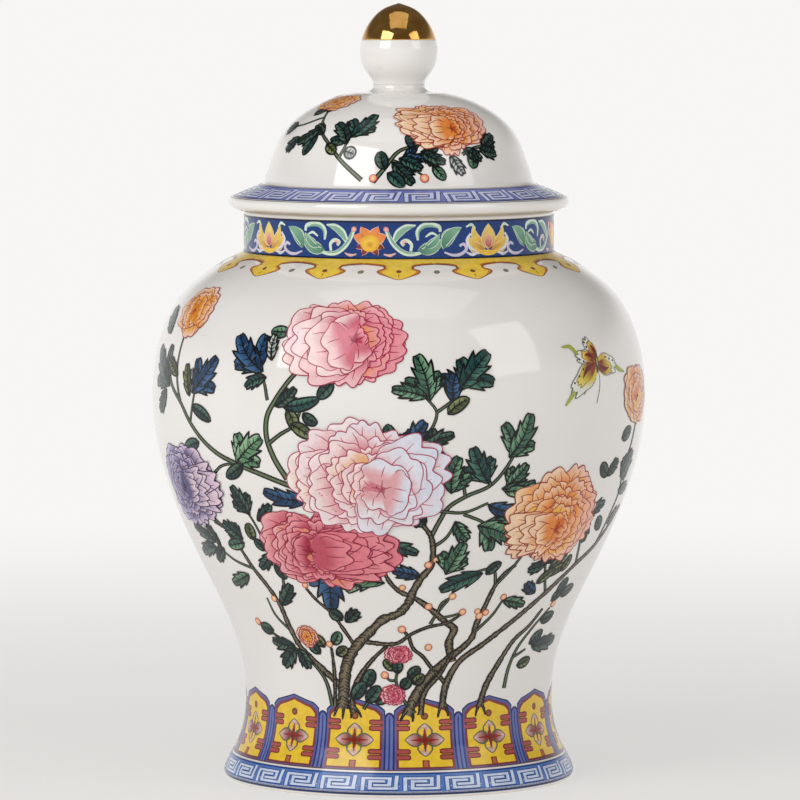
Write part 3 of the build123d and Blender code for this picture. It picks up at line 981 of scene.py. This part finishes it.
JAR_TRUNKS = (          # thick, thin, bark, places
    (4.0, 2.0, True, ((31, 48), (33, 58), (38, 72), (43, 85), (48, 92), (52, 102))),
    (3.8, 1.8, True, ((-21, 60), (-30, 72), (-36, 82), (-38.5, 95), (-39.5, 107), (-42, 118), (-45, 128),
         (-47.5, 140), (-50, 150), (-55, 155))),
    (3.6, 2.6, True, ((16, 49), (17, 60), (19, 68), (21, 73), (30, 84), (40, 97), (50, 112), (60, 128),
         (68, 138), (74, 150), (78, 160))),
    (2.5, 1.4, False, ((42, 57), (43, 68), (45, 78), (50, 90), (56, 102))),
    (2.2, 1.4, False, ((-25, 49), (-28, 65), (-33, 74), (-38, 80), (-46, 87), (-53, 94))),
    (2.2, 1.4, True, ((-24, 49), (-23.5, 70), (-23.5, 82))),
    (2.2, 1.4, True, ((-15, 84), (-18, 93), (-22, 105), (-25, 110), (-28, 118))),
    (5.4, 1.8, True, ((3, 45), (7, 58), (12, 68), (18, 77), (22, 82), (25, 88), (25.5, 95), (27, 105),
         (28, 113), (29, 120), (31, 127), (34, 132))),
    (6.6, 2.4, True, ((-21, 48), (-20, 62), (-19, 70), (-16, 80), (-9, 93), (-5, 100), (0, 104), (3, 111),
         (4, 117), (6, 125), (8.8, 134), (9, 143), (8, 152), (6, 158))),
    (4.8, 1.8, True, ((19, 74), (17, 86), (18, 94), (15, 98), (10, 106), (5, 113), (0, 118), (-3, 125),
         (-4, 130))),
    (2.6, 1.5, True, ((17, 62), (11, 72), (8, 78), (5, 82), (3, 90), (1, 94))),
    (2.4, 1.4, True, ((-11, 86), (0, 86), (4, 91), (9, 95), (16, 98), (20, 103))),
    (1.9, 1.1, False, ((10, 97), (12, 104), (15, 112))),
    (1.9, 1.1, False, ((44, 74), (50, 78))),
    (2.0, 1.2, False, ((26, 92), (31, 102), (33, 110))),
    (1.8, 1.0, False, ((-38, 90), (-43, 100), (-44, 110))),
    (2.0, 1.2, False, ((6, 46), (1, 55), (-1, 64), (0, 72))),
    (1.8, 1.0, False, ((-13, 48), (-10, 56), (-11, 66))),
    (1.6, 1.0, False, ((-1, 64), (-3, 64), (-5, 67))),
    (1.6, 1.0, False, ((12, 104), (13, 110), (16, 114))),
    (1.6, 1.0, False, ((14, 101), (17, 102), (20, 104))),
    (3.4, 1.6, True, ((-17, 46), (-17, 56), (-14, 66), (-9, 76), (-4, 84))),
    (2.4, 0.7, True, ((-22, 52), (-23.5, 47.5), (-24.5, 43.5))),
    (2.4, 0.7, True, ((-20.5, 51), (-20.8, 46), (-21, 42.5))),
    (2.2, 0.7, True, ((-18.5, 51), (-17.6, 46.5), (-17.8, 43))),
    (2.0, 0.6, True, ((-16.5, 49), (-14.6, 46), (-13.8, 43.5))),
    (2.4, 0.7, True, ((3, 48), (1.4, 44.5), (0.6, 42))),
    (2.2, 0.7, True, ((4.5, 48), (5.2, 44), (5, 41.5))),
    (2.0, 0.6, True, ((16, 51), (14.8, 46.5), (14.4, 43.5))),
    (2.0, 0.6, True, ((17, 51), (18, 47), (18.4, 44))),
    (2.0, 0.6, True, ((31, 50), (29.8, 46), (29.4, 43))),
    (2.0, 0.6, True, ((32, 50), (33.2, 46), (33.6, 43.5))),
    (3.2, 1.6, True, ((8, 45), (9, 56), (15, 68), (19, 80))),
)
JAR_STEMS = (
    (2.6, 1.6, False, ((8, 150), (10, 160), (12, 168), (16, 174), (22, 180), (26, 191), (28, 200))),
    (2.0, 1.2, False, ((9, 145), (12, 150), (14, 158))),
    (1.8, 1.2, False, ((10, 166), (16, 165), (22, 170))),
    (1.8, 1.2, False, ((16, 164), (22, 158), (26, 150))),
    (1.8, 1.2, False, ((16, 174), (15, 182), (13, 188))),
    (1.8, 1.2, False, ((22, 180), (21, 186), (19, 192))),
    (3.4, 2.2, False, ((-27, 183), (-30, 195), (-31.5, 207), (-31, 217), (-29, 225), (-24, 240),
         (-19, 250))),
    (2.2, 1.4, False, ((-31, 202), (-28, 207), (-24, 213), (-22.5, 221))),
    (3.0, 2.0, False, ((-26, 179), (-34, 185), (-41, 190), (-47, 195), (-52, 202), (-56, 210), (-60, 220),
         (-65, 229), (-68, 240))),
    (1.8, 1.2, False, ((-50, 182), (-46, 188), (-42, 190))),
    (1.8, 1.2, False, ((-56, 210), (-55, 218), (-54, 227))),
    (1.8, 1.2, False, ((-60, 220), (-62, 230), (-63, 240), (-63, 258))),
    (1.8, 1.2, False, ((5, 205), (7.5, 212), (8.5, 220), (6, 228))),
    (1.8, 1.2, False, ((8.5, 220), (12, 226), (15, 234))),
    (1.8, 1.2, False, ((-31, 225), (-32, 234), (-34, 242))),
    (1.8, 1.2, False, ((0, 193), (1, 200), (4, 206))),
    (1.8, 1.2, False, ((29, 120), (27, 130), (20, 128))),
    (2.0, 1.2, False, ((29, 120), (33, 130), (36, 140), (40, 148))),
    (1.8, 1.2, False, ((50, 112), (47, 122), (45, 132), (46, 142))),
    (1.8, 1.2, False, ((60, 128), (58, 138), (56, 150), (56, 160))),
    (1.8, 1.2, False, ((68, 138), (70, 155), (71, 170), (69, 180), (71, 196), (73, 212))),
    (1.8, 1.2, False, ((-39.5, 107), (-36, 116), (-35, 128), (-37, 140), (-40, 160), (-43, 170))),
    (1.8, 1.2, False, ((-45, 128), (-52, 132), (-58, 140))),
    (1.8, 1.2, False, ((-50, 150), (-56, 160), (-60, 168))),
)
JAR_LEAVES = (          # base angle, base up, tip angle, tip up, width, tint, lobes
    (7, 226, 4, 250, 13, "green", 1), (6.5, 228, -1.5, 232, 8, "green", 0),
    (14, 232, 21, 251, 14, "teal", 1), (15, 232, 9.5, 238, 9, "blue", 0),
    (12.5, 225, 13, 240, 9, "blue", 0), (11, 219, 16, 227, 6, "olive", 0),
    (-27, 222, -18, 227, 6, "teal", 0), (-29, 222, -24, 232, 7, "dark", 0),
    (-25, 213, -20, 206, 6, "olive", 0), (-26, 221, -24, 209, 6, "olive", 0),
    (-22, 219, -18.5, 214, 5, "dark", 0), (-14, 236, -19, 243, 6, "green", 0),
    (-15, 236, -18.5, 227, 6, "dark", 0), (-27, 262, -32, 262, 6, "green", 0),
    # The grey, glare-washed leaf at -30.5 degrees is a painted reflection: a dark leaf painted pale as if
    # glare lay on it.
    (-30.5, 246, -30.5, 260, 7, "glare_washed", 0), (-32.5, 240, -41, 259, 15, "blue", 1),
    (-31.5, 237, -37, 231, 7, "teal", 0), (-1, 202, -2.5, 214, 6, "teal", 0),
    (3, 199, 6, 215, 11, "blue", 1), (5, 199, 12.5, 208, 9, "dark", 1), (4, 200, -0.5, 208, 6, "dark", 0),
    (21.5, 181, 17, 201, 12, "teal", 1), (12.5, 176, 14, 196, 12, "green", 1),
    (26, 195, 31, 218, 13, "green", 1), (26, 179, 31, 191, 10, "green", 1),
    (25, 178, 34, 181, 7, "green", 0), (26, 176, 33, 173, 6, "light", 0),
    (22, 169, 31.5, 165, 9, "blue", 0), (8, 172, 5, 182, 6, "blue", 0), (8, 168, 0, 164, 10, "teal", 1),
    (6, 167, 5, 157, 8, "dark", 0), (8, 170, 1, 173, 6, "dark", 0), (14, 160, 18, 149, 8, "green", 0),
    (20, 157, 31, 147, 14, "green", 1), (-22, 172, -34, 176, 10, "blue", 0),
    (-22, 151, -16, 161, 7, "olive", 0), (-14, 149, -9, 159, 7, "olive", 0),
    (-19, 150, -24, 159, 6, "olive", 0), (-10, 152, -3, 157, 8, "dark", 0),
    (-19, 137, -21, 106, 17, "blue", 1), (-4, 123, -19, 134, 12, "light", 1),
    (-17, 136, -22, 140, 6, "teal", 0), (-5, 147, 5, 141, 8, "teal", 0), (6, 127, -1.5, 131, 8, "blue", 0),
    (13, 128, 17, 147, 12, "green", 1), (24, 128, 12, 118, 10, "teal", 0), (25, 127, 29, 134, 5, "dark", 0),
    (-17, 98, -12.5, 105, 7, "dark", 0), (-18, 99, -22, 104, 6, "dark", 0),
    (-17, 53, -12, 63, 6, "dark", 0), (-12, 52, -7, 61, 6, "dark", 0), (-12, 60, -9, 70, 6, "dark", 0),
    (-9, 52, -4, 57, 5, "teal", 0), (0, 68, 0, 76, 5, "dark", 0), (-1, 70, -5, 76, 5, "olive", 0),
    (3, 66, 7, 72, 5, "dark", 0), (5, 62, 9, 67, 5, "olive", 0), (1, 59, 4, 65, 5, "dark", 0),
    (-38, 82, -48, 84, 8, "dark", 0), (-38, 80, -45, 69, 9, "dark", 0), (-37, 80, -34, 69, 8, "dark", 0),
    (-46, 90, -52, 92, 6, "dark", 0), (-26, 82, -29, 89, 5, "olive", 0), (-23, 84, -20, 92, 5, "green", 0),
    (-22, 78, -18, 83, 5, "olive", 0), (-28, 78, -32, 84, 5, "dark", 0), (-39, 106, -33, 120, 8, "dark", 0),
    (-48, 124, -58, 117, 8, "green", 0), (-55, 139, -61, 130, 7, "dark", 0),
    (-56, 140, -60, 152, 7, "dark", 0), (-58, 142, -68, 150, 8, "dark", 0),
    (-59, 139, -70, 133, 8, "teal", 0), (-45, 146, -51, 155, 10, "teal", 1),
    (-45, 144, -52, 141, 6, "green", 0), (-36, 139, -42, 129, 7, "teal", 0),
    (-36, 133, -34, 123, 6, "dark", 0), (-41, 146, -41, 156, 6, "olive", 0),
    (-38, 140, -41, 146, 5, "dark", 0), (-40, 161, -44, 177, 10, "dark", 1),
    (-38, 158, -33, 168, 7, "teal", 0), (-53, 200, -60, 194, 6, "teal", 0),
    (-41, 190, -33, 205, 14, "light", 1), (-39, 190, -45, 182, 6, "dark", 0),
    (-55, 226, -47, 246, 13, "blue", 1), (-56, 224, -58, 241, 8, "olive", 0),
    (-55, 219, -48, 212, 6, "dark", 0), (-62, 234, -68, 242, 7, "olive", 0),
    (-66, 228, -77, 248, 14, "dark", 1), (-68, 226, -73, 214, 9, "dark", 0),
    (-72, 256, -78, 271, 11, "dark", 0), (56, 158, 59, 142, 8, "dark", 0), (55, 156, 63, 164, 8, "teal", 0),
    (60, 180, 64, 188, 7, "dark", 0), (60, 180, 56, 188, 6, "dark", 0), (68, 178, 73, 192, 14, "dark", 1),
    (70, 170, 77, 170, 7, "teal", 0), (46, 131, 51, 139, 8, "dark", 0), (46, 131, 43, 140, 8, "dark", 0),
    (45, 131, 39, 128, 7, "teal", 0), (45, 113, 40, 120, 7, "blue", 0), (33, 110, 42, 106, 7, "green", 0),
    (44, 119, 50, 127, 5, "olive", 0), (47, 123, 55, 130, 5, "olive", 0), (47, 128, 53, 137, 5, "olive", 0),
    (53, 125, 55, 135, 5, "olive", 0), (55, 106, 60, 113, 6, "dark", 0), (59, 109, 66, 113, 6, "dark", 0),
    (56, 111, 59, 120, 6, "dark", 0), (53, 95, 60, 98, 6, "dark", 0), (51, 81, 57, 88, 6, "dark", 0),
    (53, 79, 69, 81, 9, "dark", 0), (47, 69, 54, 72, 5, "olive", 0), (52, 144, 47, 150, 7, "dark", 0),
    (36, 141, 31, 150, 6, "dark", 0), (66, 148, 62, 156, 6, "dark", 0), (71, 150, 76, 158, 7, "olive", 0),
    (64, 200, 69, 205, 6, "dark", 0),
)
JAR_BUDS = ((8, 134, 1.9), (10, 137, 1.5), (9, 108, 1.9), (16, 114, 1.8), (20, 104, 1.8), (26, 101, 1.9),
            (28, 103, 1.7), (25, 104, 1.5), (1, 94, 2.0), (10, 83, 1.8), (-5, 67, 1.9), (-41, 110, 1.7),
            (-53, 94, 2.0), (-24, 84, 1.7), (33, 112, 1.7), (57, 104, 1.8), (-28, 120, 1.6), (1, 120, 1.6))
JAR_PEONIES = (         # place, size, colours in front and at the back, level, heart, way and spread it opens
    ((-12.5, 257), (66, 47), ("pink", "orange"), 26, 5 + 1j, (205, 62)),
    ((-20, 143), (76, 46), ("rose", "purple"), 26, -8 - 2j, (-4, 34)),
    ((-8, 184), (86, 60), ("pale", "pink"), 62, 9 - 5j, (-18, 66)),
    ((43, 160), (68, 55), ("orange", "rose"), 26, 2 - 8j, (216, 36)),
    ((-62, 175), (62, 46), ("purple", "pale"), 26, -5 - 2j, (0, 30)),
)
JAR_SMALL_PEONIES = (
    ((-62, 271), (34, 30), ("small", "purple"), -2 - 1j),
    ((73, 223), (40, 32), ("orange", "pink"), -3 - 2j),
    ((-32, 88), (13, 12), ("small", "rose"), 0j),
    ((0, 79), (14, 9), ("pink", "small"), -1j),
    ((-2, 56), (13, 10), ("pink", "pink"), 0j),
)
LID_STEMS = (
    (2.4, 1.4, False, ((-16, 30), (-28, 42), (-35, 50), (-42, 57), (-48, 68), (-52, 77))),
    (1.8, 1.0, False, ((-28, 42), (-26, 48), (-24, 56))),
    (1.8, 1.0, False, ((-42, 57), (-50, 56), (-58, 52))),
    (1.8, 1.0, False, ((-48, 68), (-60, 62), (-68, 60))),
    (2.6, 1.6, False, ((-11, 29), (-6, 37), (0, 46), (10, 50))),
    (2.0, 1.4, False, ((30, 44), (36, 47), (48, 49))),
    (1.6, 1.0, False, ((-3, 41), (4, 38), (11, 32))),
)
LID_LEAVES = (
    (-6, 36, -8, 46, 6, "dark", 0), (-3, 40, 6, 28, 8, "dark", 0), (0, 42, 10, 36, 7, "teal", 0),
    (2, 44, 12, 42, 7, "blue", 1), (10, 46, 21, 40, 8, "dark", 1), (-5, 34, 2, 26, 6, "teal", 0),
    # The grey, glare-washed leaves at 24 and -26 degrees, here and two lines down, are painted reflections:
    # dark leaves painted pale as if glare lay on them.
    (8, 47, 4, 56, 6, "dark", 0), (24, 44, 29, 33, 7, "glare_washed", 0), (31, 47, 40, 41, 7, "teal", 0),
    (15, 38, 20, 30, 5, "green", 0), (42, 48, 52, 55, 8, "dark", 1), (40, 47, 50, 44, 7, "dark", 0),
    (-25, 50, -35, 63, 10, "dark", 1), (-24, 54, -14, 71, 10, "teal", 1), (-26, 46, -20, 44, 6, "glare_washed", 0),
    (-40, 56, -48, 62, 7, "dark", 0), (-44, 60, -56, 50, 7, "dark", 0), (-56, 53, -64, 45, 7, "teal", 0),
    (-44, 56, -49, 43, 6, "dark", 0), (-66, 60, -76, 58, 8, "dark", 0), (-50, 72, -46, 82, 7, "dark", 0),
    (-52, 74, -62, 72, 7, "dark", 0), (-36, 50, -30, 45, 5, "olive", 0), (36, 47, 34, 36, 6, "green", 0),
)
LID_BUDS = ((11, 31, 2.2), (-11, 31, 2.0), (-70, 61, 1.9), (49, 50, 1.8))


def jar_stems():
    """Trunks, stems and buds, on the front and again mirrored on the back."""
    painting = Painting(JAR_WALL)
    for side in (0, 1):
        painting.face(side)
        branches(painting, JAR_TRUNKS, level=6, seed=10 + side)
        branches(painting, JAR_STEMS, level=6, seed=20 + side)
        for number, (angle, up, radius) in enumerate(JAR_BUDS):
            bud(painting, angle, up, radius, ("EE8C58", "F0A060")[number % 2], level=15)
    painted(painting, "jar_stems", "jar")


def jar_leaves():
    """Leaves, on the front and again mirrored on the back."""
    for side, name in enumerate(("jar_leaves_front", "jar_leaves_back")):
        painting = Painting(JAR_WALL)
        painting.face(side)
        leaves(painting, JAR_LEAVES, level=14, seed=30 + side)
        painted(painting, name, "jar")


def jar_flowers():
    """Peonies and a butterfly, on the front and again mirrored on the back in other colours."""
    for side, name in enumerate(("jar_flowers_front", "jar_flowers_back")):
        painting = Painting(JAR_WALL)
        painting.face(side)
        for number, (place, size, tints, level, heart, opening) in enumerate(JAR_PEONIES):
            peony(painting, place, size, tints[side], level, 40 + 10 * number + side, heart, opening)
        for number, (place, size, tints, heart) in enumerate(JAR_SMALL_PEONIES):
            seed = 140 + 10 * number + side
            peony(painting, place, size, tints[side], 26, seed, heart, None, SMALL_RINGS)
        butterfly(painting, 52.5, 243, level=16)
        painted(painting, name, "jar")


def lid_plants():
    """Two sprays with a peony each, on the front of the lid and again mirrored on its back."""
    painting = Painting(LID_WALL)
    for side in (0, 1):
        painting.face(side)
        branches(painting, LID_STEMS, level=0, seed=210 + side)
        for angle, up, radius in LID_BUDS:
            bud(painting, angle, up, radius, "EE7C50", level=9)
        leaves(painting, LID_LEAVES, level=8, seed=220 + side)
        large, small = ("orange", "pink")[side], ("small", "orange")[side]
        peony(painting, (25, 63), (50, 36), large, 20, 230 + side, 3 - 4j, (190, 40))
        peony(painting, (-55, 84), (28, 18), small, 20, 240 + side, -1 - 1j, None, SMALL_RINGS)
    painted(painting, "lid_plants", "lid")


jar_stems()
jar_leaves()
jar_flowers()
lid_plants()

# ---------------------------------------------------------------- floor, light and camera

LAMP_AIM = 0.2          # how high up the axis the lamps point, m


def softbox(name, azimuth, elevation, distance, across, tall, power):
    """A soft rectangular light round the jar, aimed at the middle of the jar."""
    lamp = bpy.data.lights.new(name, "AREA")
    lamp.shape = "RECTANGLE"
    lamp.size, lamp.size_y = across, tall
    lamp.energy = power
    light = bpy.data.objects.new(name, lamp)
    turn, lift = math.radians(azimuth), math.radians(elevation)
    out = Vector((math.sin(turn) * math.cos(lift), -math.cos(turn) * math.cos(lift), math.sin(lift)))
    light.location = out * distance + Vector((0, 0, LAMP_AIM))
    light.rotation_euler = out.to_track_quat("Z", "Y").to_euler()
    bpy.context.scene.collection.objects.link(light)


def stage():
    """A wide pale floor that runs out to the same pale light all round, and three soft lamps."""
    ring = [(60 * math.sin(a), -60 * math.cos(a), 0) for a in np.linspace(0, 2 * math.pi, 96, endpoint=False)]
    mesh = bpy.data.meshes.new("floor")
    mesh.from_pydata(ring, [], [list(range(len(ring)))])
    mesh.materials.append(floor_material())
    floor = bpy.data.objects.new("floor", mesh)
    bpy.context.scene.collection.objects.link(floor)
    world = bpy.data.worlds.new("pale_room")
    world.use_nodes = True
    tree = world.node_tree
    skyward = add_node(tree, "ShaderNodeTexCoord").outputs["Generated"]
    way = add_node(tree, "ShaderNodeSeparateXYZ", {0: skyward})
    rise = ramp(tree, way.outputs["Z"], 0.10, 0.38, 0.0, 1.0, interpolation_type="SMOOTHSTEP")
    sky = mixed(tree, rise, ROOM, "6E6A66")
    tree.links.new(sky, tree.nodes["Background"].inputs["Color"])
    bpy.context.scene.world = world
    softbox("left_window", azimuth=-42, elevation=32, distance=1.7, across=0.95, tall=0.95, power=12.5)
    softbox("right_window", azimuth=56, elevation=29, distance=1.7, across=0.75, tall=0.95, power=4)
    softbox("high_fill", azimuth=0, elevation=80, distance=1.8, across=1.4, tall=1.4, power=4.5)


LENS = 271.94           # mm
AWAY, ABOVE = 7.8, 1.1  # the camera's distance and height, in heights of the jar
DOWNWARD = 4.493        # degrees it looks down


def camera(height):
    """A long lens from in front and a little above, as the jar is usually shown."""
    lens = bpy.data.cameras.new("camera")
    lens.lens = LENS
    lens.sensor_width = 36
    lens.shift_x = 0.0015
    lens.clip_end = 200
    seat = bpy.data.objects.new("camera", lens)
    seat.location = (0, -AWAY * height, ABOVE * height)
    seat.rotation_euler = (math.radians(90 - DOWNWARD), 0, 0)
    bpy.context.scene.collection.objects.link(seat)
    bpy.context.scene.camera = seat


stage()
camera(cad_box[1][2] - cad_box[0][2])
bpy.context.scene.view_settings.view_transform = "Standard"
